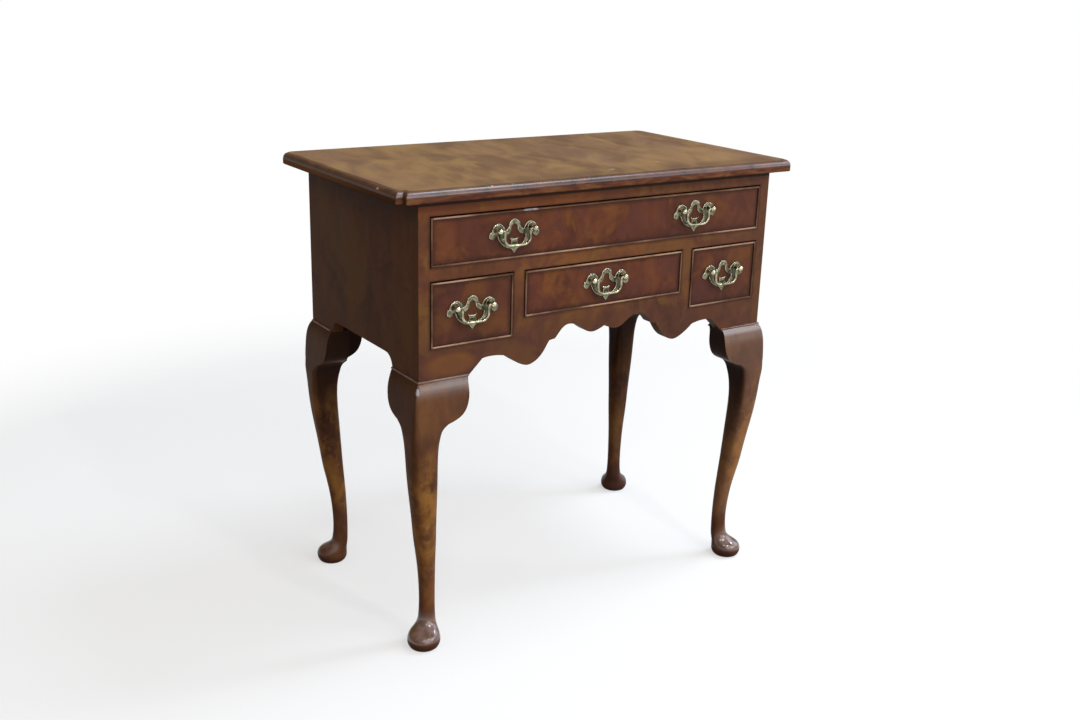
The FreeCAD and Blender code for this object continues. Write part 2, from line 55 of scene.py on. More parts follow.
nodes = frame["nodes"]
slot_of = {row["node"]: row["material_slot"] for row in frame["record"]["subparts"]}
joint_of = {joint["name"]: joint for joint in frame["record"]["behaviour"]["joints"]}
drawers = ("long", "left", "centre", "right")
handles = ("long_left", "long_right", "left", "centre", "right")
swing = {handle: joint_of[f"{handle}_bail_swing"] for handle in handles}

# ---------------------------------------------------------------- places on the lowboy, in metres
front_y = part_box("front_apron")[0][1]
side_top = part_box("side_panel_left")[1][2]
top_low, top_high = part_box("top_board")
pin_y = swing["centre"]["pos_m"][1]
half_handle_span = 0.032
lip_height = 0.0085

# Marks of wear, a tone patch and a painted highlight on a knee: the centre and the half axes of each.
apron_glow = ((-0.292, front_y, 0.490), (0.055, 0.03, 0.022))
knee_highlight = ((-0.3560, -0.2100, 0.4575), (0.0036, 0.0040, 0.0090))
bead_scars = {"long": [((-0.153, front_y - 0.0016, 0.7210), (0.0155, 0.006, 0.0036))]}
moulding_chips = [((-0.233, -0.2185, 0.7665), (0.004, 0.003, 0.0022)),
                  ((-0.240, -0.2200, 0.7655), (0.0022, 0.002, 0.0015)),
                  ((-0.195, -0.2175, 0.7665), (0.003, 0.002, 0.0012)),
                  ((-0.389, -0.1500, 0.7625), (0.003, 0.005, 0.0020))]
top_scratches = [((0.0214, -0.1739, 0.7670), (0.008, 0.0022, 0.002)),
                 ((0.029, -0.1700, 0.7670), (0.004, 0.0014, 0.0020)),
                 ((0.1478, -0.1363, 0.7670), (0.006, 0.002, 0.002))]

# A fade, here and below, is a pair: where a look is still nil, and where it is full.
left_half_fade = (0.1, -0.1)
right_end_fade = (0.02, 0.34)


# ---------------------------------------------------------------- colours and shader nodes
def srgb(red, green, blue):
    """Linear colour of an 8-bit screen colour."""
    def channel(value):
        value /= 255
        return value / 12.92 if value <= 0.04045 else ((value + 0.055) / 1.055) ** 2.4
    return (channel(red), channel(green), channel(blue), 1.0)


class Graph:
    """A material or world under construction: adds shader nodes and links them."""

    def __init__(self, owner):
        owner.use_nodes = True
        self.tree = owner.node_tree
        self.tree.nodes.clear()

    def put(self, socket, value):
        if isinstance(value, bpy.types.NodeSocket):
            self.tree.links.new(value, socket)
        else:
            socket.default_value = value

    def add(self, kind, inputs, **settings):
        node = self.tree.nodes.new("ShaderNode" + kind)
        for key, value in settings.items():
            setattr(node, key, value)
        for key, value in inputs.items():
            self.put(node.inputs[key], value)
        return node

    # sums
    def math(self, operation, a, b=0.0):
        return self.add("Math", {0: a, 1: b}, operation=operation).outputs[0]

    def chain(self, operation, values):
        result = values[0]
        for value in values[1:]:
            result = self.math(operation, result, value)
        return result

    def times(self, *values):
        return self.chain("MULTIPLY", values)

    def plus(self, *values):
        return self.chain("ADD", values)

    def most(self, *values):
        return self.chain("MAXIMUM", values)

    def least(self, *values):
        return self.chain("MINIMUM", values)

    def less(self, a, b):
        return self.math("SUBTRACT", a, b)

    def inverse(self, value):
        return self.less(1.0, value)

    def rise(self, base, gain, mask):
        """base where the mask is 0, base + gain where it is 1."""
        return self.plus(base, self.times(mask, gain))

    def step(self, value, low, high):
        """0 at low, 1 at high, smooth between; high may be the smaller number."""
        node = self.add("MapRange", {"Value": value, "From Min": low, "From Max": high},
                        interpolation_type="SMOOTHSTEP", clamp=True)
        return node.outputs["Result"]

    # colours and vectors
    def mix(self, factor, a, b):
        return self.add("Mix", {0: factor, 6: a, 7: b}, data_type="RGBA").outputs[2]

    def tint(self, colour, tone, amount, *masks):
        """The colour with this amount of a tone in it where all the masks are 1."""
        return self.mix(self.times(amount, *masks), colour, tone)

    def blend(self, factor, a, b):
        """Mix of two vectors."""
        return self.add("Mix", {0: factor, 4: a, 5: b}, data_type="VECTOR").outputs[1]

    def dot(self, a, b):
        return self.add("VectorMath", {0: a, 1: b}, operation="DOT_PRODUCT").outputs["Value"]

    def length(self, vector):
        return self.add("VectorMath", {0: vector}, operation="LENGTH").outputs["Value"]

    def axes(self, vector):
        return self.add("SeparateXYZ", {0: vector}).outputs

    def scaled(self, vector, scale, shift=(0, 0, 0)):
        node = self.add("Mapping", {"Vector": vector, "Scale": scale, "Location": shift})
        return node.outputs["Vector"]

    def noise(self, vector, scale, detail=2.0, roughness=0.5, distortion=0.0):
        node = self.add("TexNoise", {"Vector": vector, "Scale": scale, "Detail": detail,
                                     "Roughness": roughness, "Distortion": distortion})
        return node.outputs["Fac"]

    def ramp(self, factor, stops):
        node = self.add("ValToRGB", {0: factor})
        elements = node.color_ramp.elements
        elements[0].position, elements[0].color = stops[0]
        elements[-1].position, elements[-1].color = stops[-1]
        for position, colour in stops[1:-1]:
            elements.new(position).color = colour
        return node.outputs["Color"]

    # the surface: where a point is, which way it faces, and how near a mark or an edge
    def place(self):
        return self.add("TexCoord", {}).outputs["Object"]

    def normal(self):
        return self.add("NewGeometry", {}).outputs["Normal"]

    def facing(self):
        """X, Y and Z of the normal."""
        return self.axes(self.normal())

    def sideways(self):
        """1 on the faces turned to the left or right."""
        return self.step(self.math("ABSOLUTE", self.facing()["X"]), 0.55, 0.9)

    def soft_normal(self, radius):
        """Normal with the piece's own edges rounded to this radius."""
        return self.add("Bevel", {"Radius": radius}, samples=6).outputs["Normal"]

    def edges(self, soft, low, high):
        """1 on the arrises that soft_normal rounds, 0 on the flats."""
        return self.step(self.inverse(self.dot(soft, self.normal())), low, high)

    def rim(self, place, low, high, sides=("left", "right", "bottom", "top")):
        """Distance of a point on an upright panel from the nearest of these sides."""
        xyz = self.axes(place)
        ends = {"left": (xyz["X"], low[0]), "right": (high[0], xyz["X"]),
                "bottom": (xyz["Z"], low[2]), "top": (high[2], xyz["Z"])}
        return self.least(1.0, *(self.less(*ends[side]) for side in sides))

    def spot(self, place, centre, reach):
        """1 in the middle of an ellipsoid with these half axes, 0 outside it."""
        scale = [1 / length for length in reach]
        shift = [-c / length for c, length in zip(centre, reach)]
        return self.step(self.length(self.scaled(place, scale, shift)), 1.0, 0.55)

    def bump(self, height, distance, normal=None):
        inputs = {"Height": height, "Distance": distance}
        if normal:
            inputs["Normal"] = normal
        return self.add("Bump", inputs).outputs["Normal"]

    def surface(self, **inputs):
        """Principled shader with these inputs, joined to the material's output."""
        names = {key.replace("_", " ").title().replace("Ior", "IOR"): value for key, value in inputs.items()}
        shader = self.add("BsdfPrincipled", names)
        self.add("OutputMaterial", {"Surface": shader.outputs[0]})


def start_material(name):
    material = bpy.data.materials.new(name)
    return material, Graph(material)


# ---------------------------------------------------------------- wood
# Each wood has a dark, a middle, a light, an amber and a plum colour.
walnut = (srgb(74, 40, 29), srgb(98, 54, 36), srgb(112, 64, 40), srgb(120, 74, 36), srgb(88, 50, 42))
rail_walnut = (srgb(76, 44, 28), srgb(102, 62, 39), srgb(120, 74, 42), srgb(116, 78, 40), srgb(90, 54, 42))
# The sides' walnut is darker than the front's, partly as painted shade.
side_walnut_with_shade = (srgb(68, 42, 25), srgb(88, 54, 30), srgb(100, 62, 34), srgb(100, 66, 32), srgb(84, 48, 34))
leg_walnut = (srgb(68, 43, 33), srgb(103, 66, 44), srgb(122, 79, 47), srgb(130, 85, 44), srgb(87, 53, 42))
top_walnut = (srgb(110, 76, 52), srgb(139, 103, 68), srgb(157, 119, 77), srgb(161, 124, 70),
              srgb(125, 90, 77))
bead_walnut = (srgb(44, 27, 20), srgb(62, 39, 28), srgb(78, 50, 34), srgb(84, 54, 34), srgb(56, 34, 28))
oak = (srgb(134, 104, 72), srgb(160, 128, 92), srgb(184, 152, 114), srgb(170, 132, 88), srgb(150, 118, 88))
pine = (srgb(92, 66, 44), srgb(116, 86, 58), srgb(140, 106, 74), srgb(124, 88, 54), srgb(106, 78, 56))

black_pore = srgb(24, 14, 10)
worn_arris = srgb(138, 100, 68)
plum_brown = srgb(66, 42, 38)

grain_depth = 0.00004
streaks_per_metre = (430.0, 11.0)
bands_per_metre = (120.0, 5.0)
pores_per_metre = (1400.0, 60.0)


def wood(name, along, tones, figure=30.0, stretch=0.6, contrast=0.8, glow=0.6, streaks=0.16, seed=0.0,
         gloss=0.34, specular=0.1, wear=0.4, arris=0.0011, paint=None, polish=None, rounded=None):
    """Veneer or solid wood with its grain along one axis.

    figure is the number of blotches in a metre across the grain, and stretch times as many lie along it;
    gloss is the roughness, wear how far the arrises are rubbed, and arris the radius they look rounded to.
    paint(graph, place, colour), polish(graph, place) and rounded(graph, place) give the colour, the
    roughness with the specular level, and the part with softened arrises that belong to one piece."""
    material, g = start_material(name)
    place = g.place()
    dark, middle, light, amber, plum = tones
    shift = (seed, seed * 1.7, seed * 0.6)

    def grain(across, lengthwise, detail, roughness=0.5, distortion=0.0, moved=shift):
        """Noise with this many waves in a metre across the grain and along it."""
        scale = [across, across, across]
        scale["XYZ".index(along)] = lengthwise
        return g.noise(g.scaled(place, scale, moved), 1.0, detail, roughness, distortion)

    blotch = grain(figure, figure * stretch, 3.0, 0.55, 0.7)
    cloud = grain(figure * 0.3, figure * stretch * 0.4, 2.0, 0.5, 0.5)
    hue = grain(figure * 0.45, figure * stretch * 0.6, 3.0, 0.6, 0.8, shift[::-1])
    streak = grain(*streaks_per_metre, 4.0, 0.65, 0.3)
    band = grain(*bands_per_metre, 3.0, 0.6, 0.4)
    pore = g.step(grain(*pores_per_metre, 2.0), 0.60, 0.74)

    tone = g.plus(g.times(blotch, 0.55), g.times(cloud, 0.45))
    spread = 0.13 / contrast
    colour = g.ramp(tone, [(0.5 - spread, dark), (0.5, middle), (0.5 + spread, light)])
    colour = g.tint(colour, amber, glow, g.step(hue, 0.5, 0.66))
    colour = g.tint(colour, plum, glow, g.step(hue, 0.5, 0.36))
    lines = g.plus(g.times(g.step(streak, 0.35, 0.7), 0.55), g.times(g.step(band, 0.4, 0.66), 0.45))
    colour = g.tint(colour, dark, streaks, lines)
    colour = g.tint(colour, black_pore, 0.3, pore)
    if paint:
        colour = paint(g, place, colour)

    soft = g.soft_normal(arris)
    if rounded:
        soft = g.blend(rounded(g, place), g.normal(), soft)
    patchy = g.step(g.noise(place, 34.0, 3.0), 0.42, 0.62)
    colour = g.tint(colour, worn_arris, wear, g.edges(soft, 0.02, 0.2), patchy)
    rough, level = polish(g, place) if polish else (gloss, specular)
    rough = g.plus(g.times(g.less(blotch, 0.5), 0.14), rough)
    height = g.less(g.times(streak, 0.5), pore)
    g.surface(base_color=colour, roughness=rough, specular_ior_level=level,
              normal=g.bump(height, grain_depth, soft))
    return material


def seed_of(name):
    """A number of its own for each piece, the same in every run."""
    return sum(ord(letter) * (place + 3) for place, letter in enumerate(name)) % 97 * 0.37


# ---------------------------------------------------------------- drawer fronts and their beads
border_brown = srgb(46, 26, 20)
border_fade = (0.009, 0.001)
border_waver = 0.006
lower_left_brown = srgb(58, 32, 28)
lower_left_fade = (0.036, 0.004)
grime_and_shadow_brown = srgb(44, 26, 22)
grime_and_shadow_margin = Vector((0.008, 0.02, 0.008))
darkened_drawers = {"left": 0.3}


# Mask of a painted shade: the light falls off towards the right end of the case.
def to_the_right(g, place):
    """0 in the middle of the front, 1 at its right end."""
    return g.step(g.axes(place)["X"], *right_end_fade)


def drawer_paint(drawer):
    """A dark border inside the cock bead of one drawer front, partly dirt and partly painted shade, darker
    towards its lower left corner, painted shade in plum brown towards the right of the case, and grime and
    a painted contact shadow round the handles."""
    low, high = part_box(f"{drawer}_drawer_front")
    own_handles = [handle for handle in handles if handle.split("_")[0] == drawer]

    def paint(g, place, colour):
        waver = g.noise(place, 60.0, 2.0)
        inside = g.plus(g.rim(place, low, high), g.times(waver, -border_waver))
        # a dark border just inside the bead, partly dirt and partly painted shade
        colour = g.tint(colour, border_brown, 0.6, g.step(inside, *border_fade))
        # painted shade in plum brown towards the right end; the left drawer is darker all over
        shade = g.most(g.times(to_the_right(g, place), 0.3), darkened_drawers.get(drawer, 0.0))
        colour = g.mix(shade, colour, plum_brown)
        corner = g.rim(place, low, high, ("left", "bottom"))
        colour = g.tint(colour, lower_left_brown, 0.4, g.step(corner, *lower_left_fade), g.step(waver, 0.3, 0.6))
        # grime and a painted contact shadow round each handle's back plate
        for handle in own_handles:
            first, last = map(Vector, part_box(f"{handle}_backplate"))
            grime = g.spot(place, (first + last) / 2, (last - first) / 2 + grime_and_shadow_margin)
            colour = g.tint(colour, grime_and_shadow_brown, 0.35, grime)
        return colour
    return paint


rubbed_and_sheen_tan = srgb(132, 96, 70)
worn_and_highlight_tan = srgb(180, 144, 116)
torn_grey = srgb(172, 170, 176)
upright_bead_fade = (0.0045, 0.003)


def bead_paint(drawer):
    """Crest of the cock bead round one drawer front: pale in stretches, partly from wear and partly as a
    painted highlight, less so at the upright sides, as painted shade, and torn where the bead has a scar."""
    front = f"{drawer}_drawer_front"
    low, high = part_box(front)

    def paint(g, place, colour):
        # painted highlight, partly wear: the crest that faces the front is paler
        crest = g.step(g.facing()["Y"], -0.25, -0.8)
        stretches = g.scaled(place, (8.0, 8.0, 14.0), (seed_of(front), 0, 0))
        rubbed = g.step(g.noise(stretches, 1.0, 3.0, 0.6), 0.36, 0.62)
        # painted shade: the upright sides of the bead stay darker
        upright = g.step(g.rim(place, low, high, ("left", "right")), *upright_bead_fade)
        worn_and_highlit = g.times(crest, g.rise(0.3, 0.65, rubbed), g.rise(1.0, -0.6, upright))
        colour = g.mix(worn_and_highlit, colour, g.mix(rubbed, rubbed_and_sheen_tan, worn_and_highlight_tan))
        for scar in bead_scars.get(drawer, []):
            ragged = g.step(g.noise(place, 260.0, 3.0), 0.34, 0.5)
            colour = g.tint(colour, torn_grey, 0.85, g.spot(place, *scar), ragged)
        return colour
    return paint


# ---------------------------------------------------------------- sides, rails, uprights and apron
olive_cloud = srgb(88, 64, 36)
dusky_cloud = srgb(58, 38, 28)
side_shadow_brown = srgb(40, 26, 20)
bead_shadow_brown = srgb(40, 24, 18)
glow_ochre = srgb(132, 84, 40)
rail_amber = srgb(126, 68, 30)
under_top_shadow_black = srgb(22, 13, 10)

side_shadow_fade = (side_top - 0.05, side_top)
bead_shadow_fade = (0.004, -0.001)
bead_shadow_waver = 0.004
lower_apron_fade = (0.57, 0.51)
top_rail_fade = (0.722, 0.728)
under_top_shadow_fade = (top_low[2] - 0.0088, top_low[2] - 0.0072)


def side_paint(g, place, colour):
    """Olive and dusky clouds across the grain of a side, and a painted shadow in brown under its top."""
    cloud = g.noise(g.scaled(place, (1.0, 9.0, 13.0), (0.4, 0.2, 0.7)), 1.0, 3.0, 0.55, 0.8)
    colour = g.tint(colour, olive_cloud, 0.5, g.step(cloud, 0.5, 0.66))
    colour = g.tint(colour, dusky_cloud, 0.5, g.step(cloud, 0.48, 0.34))
    # painted shadow under the overhang of the top board
    return g.tint(colour, side_shadow_brown, 0.45, g.step(g.axes(place)["Z"], *side_shadow_fade))


def case_paint(g, place, colour):
    """Rails, uprights and apron: a painted shadow of the cock bead round each drawer, plum brown at the
    right as painted shade and plum brown low down, an ochre glow at the lower left, amber on the left half
    of the top rail, a painted black shadow under the top board and painted shade on faces turned down, and
    the side's darker brown, partly painted shade, where an upright shows at the side."""
    xyz = g.axes(place)
    waver = g.times(g.noise(place, 50.0, 2.0), bead_shadow_waver)
    # painted shadow of each cock bead on the case round its drawer
    for drawer in drawers:
        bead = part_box(f"{drawer}_drawer_cock_bead")
        outside = g.less(g.times(g.rim(place, *bead), -1.0), waver)
        colour = g.tint(colour, bead_shadow_brown, 0.5, g.step(outside, *bead_shadow_fade))
    # painted shade: darker towards the right end
    at_right = g.times(to_the_right(g, place), 0.42)
    low_down = g.times(g.step(xyz["Z"], *lower_apron_fade), 0.48)
    colour = g.mix(g.most(at_right, low_down), colour, plum_brown)
    colour = g.tint(colour, glow_ochre, 0.4, g.spot(place, *apron_glow))
    top_rail = g.step(xyz["Z"], *top_rail_fade)
    colour = g.tint(colour, rail_amber, 0.35, top_rail, g.step(xyz["X"], *left_half_fade))
    # painted shadow under the top board's overhang, and painted shade on the faces turned down
    seam = g.step(xyz["Z"], *under_top_shadow_fade)
    underside = g.step(g.facing()["Z"], -0.15, -0.5)
    colour = g.tint(colour, under_top_shadow_black, 0.85, g.most(seam, underside))
    # the side's darker brown, partly painted shade, where an upright faces sideways
    return g.mix(g.sideways(), colour, side_paint(g, place, side_walnut_with_shade[1]))


def case_polish(g, place):
    """Only what faces the front is polished."""
    frontal = g.step(g.facing()["Y"], -0.5, -0.8)
    return 0.34, g.rise(0.01, 0.09, frontal)


# ---------------------------------------------------------------- top board
ovolo_tones = (srgb(58, 34, 28), srgb(84, 50, 38), srgb(100, 62, 44))
lip_tones = (srgb(84, 48, 38), srgb(98, 60, 43), srgb(116, 76, 50))
side_ovolo = srgb(74, 46, 28)
side_lip_tones = (srgb(84, 58, 42), srgb(124, 86, 60))
dull_strip = srgb(98, 68, 50)
pale_stain = srgb(172, 134, 84)
dark_stain = srgb(98, 62, 44)
bare_wood = srgb(206, 182, 150)

across_the_stains = Vector((0.89, -0.46, 0.0))
along_the_stains = Vector((0.46, 0.89, 0.0))
stains_per_metre = (17.0, 7.0)
strip_fade = (0.06, 0.02)
strip_waver = 0.02
flat_fade = (top_high[2] - 0.0012, top_high[2] - 0.0004)
lip_fade = (lip_height + 0.0008, lip_height - 0.0008)
side_lip_fade = (-0.2, 0.1)
shiny_left_fade = (-0.12, -0.3)
shiny_right_fade = (0.25, 0.36)


def on_the_flat(g):
    """1 on the flat of the top, 0 on its moulding."""
    return g.step(g.facing()["Z"], 0.9, 0.985)


def stained(g, place, colour):
    """Soft pale and dark stains that run slantwise over the top."""
    across = g.times(g.dot(place, across_the_stains), stains_per_metre[0])
    along = g.times(g.dot(place, along_the_stains), stains_per_metre[1])
    stain = g.noise(g.add("CombineXYZ", {0: across, 1: along}).outputs[0], 1.0, 3.0, 0.55, 0.6)
    colour = g.tint(colour, pale_stain, 0.4, g.step(stain, 0.46, 0.7))
    return g.tint(colour, dark_stain, 0.5, g.step(stain, 0.54, 0.3))


def moulding_colour(g, place, blur):
    """An ovolo over an upright lip, both with a brown of their own at the sides."""
    xyz = g.axes(place)
    ovolo = g.ramp(blur, list(zip((0.35, 0.5, 0.65), ovolo_tones)))
    ovolo = g.tint(ovolo, side_ovolo, 0.6, g.sideways())
    patches = g.noise(g.scaled(place, (24.0, 24.0, 90.0)), 1.0, 3.0, 0.6, 0.5)
    lip = g.ramp(patches, list(zip((0.38, 0.5, 0.62), lip_tones)))
    side_lip = g.mix(g.step(xyz["Y"], *side_lip_fade), *side_lip_tones)
    on_lip = g.step(g.less(xyz["Z"], top_low[2]), *lip_fade)
    return g.mix(on_lip, ovolo, g.mix(g.sideways(), lip, side_lip))


def top_paint(g, place, colour):
    """A dull strip along the front, stains, the moulding round the edge, chips and scratches."""
    xyz = g.axes(place)
    blur = g.noise(place, 26.0, 3.0, 0.6, 0.6)
    from_front = g.plus(g.less(xyz["Y"], top_low[1]), g.times(blur, -strip_waver))
    colour = g.tint(colour, dull_strip, 0.5, g.step(from_front, *strip_fade))
    colour = stained(g, place, colour)
    high_up = g.step(xyz["Z"], *flat_fade)
    colour = g.mix(g.times(on_the_flat(g), high_up), moulding_colour(g, place, blur), colour)
    for mark in moulding_chips + top_scratches:
        colour = g.tint(colour, bare_wood, 0.8, g.spot(place, *mark))
    return colour


def top_polish(g, place):
    """The front moulding shines most, above all towards its ends, then the flat; the side mouldings shine
    less, and the lip and the underside hardly."""
    facing = g.facing()
    flat = on_the_flat(g)
    across = g.axes(place)["X"]
    ends = g.most(g.step(across, *shiny_left_fade), g.times(g.step(across, *shiny_right_fade), 0.8))
    rag = g.noise(g.scaled(place, (60.0, 8.0, 30.0)), 1.0, 3.0, 0.6)
    front = g.rise(0.68, 0.9, g.times(ends, rag))
    side = g.step(g.math("ABSOLUTE", facing["X"]), 0.15, 0.4)
    moulding = g.times(g.step(facing["Z"], 0.02, 0.3), front, g.rise(1.0, -0.6, side), 0.7)
    dull = g.most(side, g.step(facing["Z"], -0.2, -0.6))
    level = g.plus(g.times(g.inverse(dull), 0.02), g.times(moulding, g.inverse(flat)), g.times(flat, 0.36))
    return g.rise(0.3, 0.05, flat), level


# ---------------------------------------------------------------- legs
knee_brown = srgb(90, 64, 50)
shank_ochre = srgb(158, 110, 56)
shank_brown = srgb(92, 56, 42)
foot_brown = srgb(82, 50, 38)
mottle_dark = srgb(60, 40, 32)
mottle_pale = srgb(172, 130, 70)
foot_bloom_and_sheen = srgb(150, 124, 116)
foot_shadow = srgb(42, 26, 20)
back_right_shade_plum = srgb(64, 46, 46)
front_right_sheen = srgb(150, 122, 108)
inner_shade_brown = srgb(32, 20, 16)
knee_highlight_grey = srgb(192, 188, 204)
rubbed_and_highlight_grey = srgb(142, 128, 122)

# Fades up a leg, and the width by which the zones of its colours waver.
zone_waver = 0.12
knee_fade = (0.33, 0.40)
shank_base_fade = (0.07, 0.15)
shank_head_fade = (0.38, 0.30)
foot_fade = (0.10, 0.05)
side_shade_fade = (0.25, 0.40)
inner_shade_fade = (0.10, 0.40)
shiny_knee_fade = (0.36, 0.42)
shiny_foot_fade = (0.075, 0.045)
# Fades that tell the right legs from the left ones, and the front ones from the back ones.
right_leg_fade = (0.0, 0.05)
front_leg_fade = (0.0, -0.05)
# The outer corner of a leg above its foot, clear of the knee blocks.
corner_x_fade = (0.318, 0.326)
corner_y_fade = (0.163, 0.171)
corner_z_fade = (0.06, 0.10)


def which_leg(g, place):
    """Two masks: 1 on the right legs, and 1 on the front legs."""
    xyz = g.axes(place)
    return g.step(xyz["X"], *right_leg_fade), g.step(xyz["Y"], *front_leg_fade)


def knee_to_foot(g, place, level, foot, colour):
    """Brown knee and foot, ochre and brown patches on the shank between them, and a fine mottle."""
    shank = g.times(g.step(level, *shank_base_fade), g.step(level, *shank_head_fade))
    patch = g.noise(g.scaled(place, (30.0, 30.0, 15.0), (0.3, 0.9, 0.1)), 1.0, 2.0, 0.5, 0.4)
    mottle = g.noise(place, 90.0, 3.0, 0.6, 0.5)
    colour = g.tint(colour, knee_brown, 0.45, g.step(level, *knee_fade))
    colour = g.tint(colour, shank_ochre, 0.8, shank, g.step(patch, 0.36, 0.68))
    colour = g.tint(colour, shank_brown, 0.4, shank, g.step(patch, 0.46, 0.32))
    colour = g.tint(colour, foot_brown, 0.6, foot)
    colour = g.tint(colour, mottle_dark, 0.2, g.step(mottle, 0.5, 0.74))
    return g.tint(colour, mottle_pale, 0.25, shank, g.step(mottle, 0.5, 0.3))


def foot_shade(g, place, foot, colour):
    """A grey bloom, partly wax and partly painted sheen, on top of the foot, and a painted shadow under its
    rim.
    """
    upward = g.facing()["Z"]
    cloudy = g.step(g.noise(place, 70.0, 2.0), 0.3, 0.7)
    # painted sheen, partly wax bloom: the upward faces of the foot are paler
    colour = g.tint(colour, foot_bloom_and_sheen, 0.4, foot, g.step(upward, 0.1, 0.4), cloudy)
    return g.tint(colour, foot_shadow, 0.55, foot, g.step(upward, 0.15, -0.35))


def toward_the_middle(g, place):
    """How far a face is turned to the middle of the case, left to right or front to back."""
    facing = g.facing()
    xyz = g.axes(place)
    return g.most(*(g.times(facing[axis], g.math("SIGN", xyz[axis]), -1.0) for axis in "XY"))


def leg_paint(g, place, colour):
    """Zones of a leg from knee to foot, then what sets its faces and the legs apart: painted shade in plum
    brown on the back right leg, a painted sheen at the front right, painted shade in the side's dark brown
    on the outer sides, painted shade on the inner ones and a painted highlight on the front left knee."""
    level = g.rise(g.axes(place)["Z"], zone_waver, g.less(g.noise(place, 22.0, 2.0), 0.5))
    foot = g.step(level, *foot_fade)
    colour = knee_to_foot(g, place, level, foot, colour)
    colour = foot_shade(g, place, foot, colour)
    right, in_front = which_leg(g, place)
    # painted shade: the back right leg is darker, in plum brown
    colour = g.tint(colour, back_right_shade_plum, 0.45, right, g.inverse(in_front))
    # painted sheen: the front right leg above its foot is paler and greyer
    colour = g.tint(colour, front_right_sheen, 0.17, right, in_front, g.inverse(foot))
    # painted shade: the sideways faces take the side's dark brown
    outer = g.times(g.sideways(), g.rise(0.15, 0.45, g.step(level, *side_shade_fade)))
    colour = g.mix(outer, colour, side_walnut_with_shade[0])
    # painted shade on the faces turned to the middle, under the case
    inner = g.step(toward_the_middle(g, place), 0.4, 0.9)
    colour = g.mix(g.times(inner, g.rise(0.05, 0.8, g.step(level, *inner_shade_fade))), colour, inner_shade_brown)
    # painted highlight: a pale grey spot on the corner of the front left knee
    return g.tint(colour, knee_highlight_grey, 0.6, g.spot(place, *knee_highlight))


def leg_polish(g, place):
    """The front of the upper knees and the tops of the feet shine, less on the back legs, and the knees
    less on the left; the rest is dull."""
    height = g.axes(place)["Z"]
    facing = g.facing()
    knee = g.times(g.step(facing["Z"], 0.1, 0.28), g.step(facing["Y"], -0.45, -0.75),
                   g.step(height, *shiny_knee_fade))
    foot = g.times(g.step(height, *shiny_foot_fade), g.step(facing["Z"], 0.0, 0.3))
    right, in_front = which_leg(g, place)
    shine = g.times(g.most(knee, foot), g.rise(0.3, 0.7, in_front))
    rough = g.plus(0.36, g.times(shine, -0.17), g.times(foot, in_front, -0.1))
    return rough, g.rise(0.02, shine, g.rise(0.52, 0.45, g.most(right, foot)))


def leg_rounding(g, place):
    """Only the outer corner of a leg above its foot is soft, so that the joint with its knee blocks stays
    closed."""
    xyz = g.axes(place)
    return g.times(g.step(g.math("ABSOLUTE", xyz["X"]), *corner_x_fade),
                   g.step(g.math("ABSOLUTE", xyz["Y"]), *corner_y_fade),
                   g.step(xyz["Z"], *corner_z_fade))


def knee_bead_paint(g, place, colour):
    """The beads above the knees, pale partly from rubbing and partly as a painted highlight, less at the
    right and least at the sides, as painted shade.
    """
    rubbed = g.step(g.noise(place, 40.0, 3.0), 0.3, 0.6)
    left = g.rise(0.5, 0.5, g.step(g.axes(place)["X"], *left_half_fade))
    in_front = g.rise(1.0, -0.78, g.sideways())
    # painted highlight, partly wear, on the beads above the knees
    return g.mix(g.times(g.rise(0.2, 0.5, rubbed), left, in_front), colour, rubbed_and_highlight_grey)


# ---------------------------------------------------------------- metal
tarnish_and_shade = srgb(58, 58, 44)
plate_tones = (srgb(84, 83, 66), srgb(124, 121, 98), srgb(160, 153, 128))
bail_tones = (srgb(108, 105, 82), srgb(152, 147, 118), srgb(200, 192, 162))
post_tones = (srgb(150, 145, 116), srgb(196, 189, 158), srgb(226, 219, 192))
steel_tones = (srgb(90, 86, 80), srgb(140, 136, 130))
polished_and_highlight_rim = srgb(232, 226, 196)
plate_shadow = srgb(44, 44, 34)
neck_brown = srgb(78, 62, 44)

neck_fade = (pin_y + 0.0036, pin_y + 0.0056)
shadow_offset = Vector((half_handle_span - 0.004, 0.006, -0.004))
shadow_reach = (0.011, 0.02, 0.024)
rim_softness = 0.0022
dusted_and_lit_side = Vector((-0.45, -0.2, 0.87))
handled_and_lit_side = Vector((-0.3, -0.2, 0.93))
speck_depth = 0.00006
tarnish_depth = 0.00005


def plate_brass(name):
    """Aged brass plates: dull green on the flats, bright on the rims that face up, partly polish and partly
    painted highlight, dark on the rims that face down, partly tarnish and partly painted shade, and dark in
    a painted shadow of each post."""
    material, g = start_material(name)
    place = g.place()
    tarnish = g.noise(place, 190.0, 4.0, 0.6, 0.4)
    specks = g.noise(place, 700.0, 3.0)
    colour = g.ramp(tarnish, list(zip((0.36, 0.5, 0.64), plate_tones)))
    for handle in handles:
        for side in (-1, 1):
            offset = Vector((side * shadow_offset.x, shadow_offset.y, shadow_offset.z))
            shadow = g.spot(place, Vector(swing[handle]["pos_m"]) + offset, shadow_reach)
            colour = g.tint(colour, plate_shadow, 0.65, shadow)
    soft = g.soft_normal(rim_softness)
    rim = g.edges(soft, 0.01, 0.12)
    # painted highlight, partly polish, on the rims that face up; painted shade, partly tarnish, on those
    # below
    above = g.step(g.dot(soft, dusted_and_lit_side), -0.25, 0.25)
    colour = g.tint(colour, polished_and_highlight_rim, 0.9, rim, above)
    colour = g.tint(colour, tarnish_and_shade, 0.75, rim, g.inverse(above))
    colour = g.tint(colour, tarnish_and_shade, 0.4, g.step(specks, 0.56, 0.7))
    g.surface(base_color=colour, metallic=1.0, roughness=g.rise(0.38, -0.25, tarnish),
              normal=g.bump(specks, speck_depth, soft))
    return material


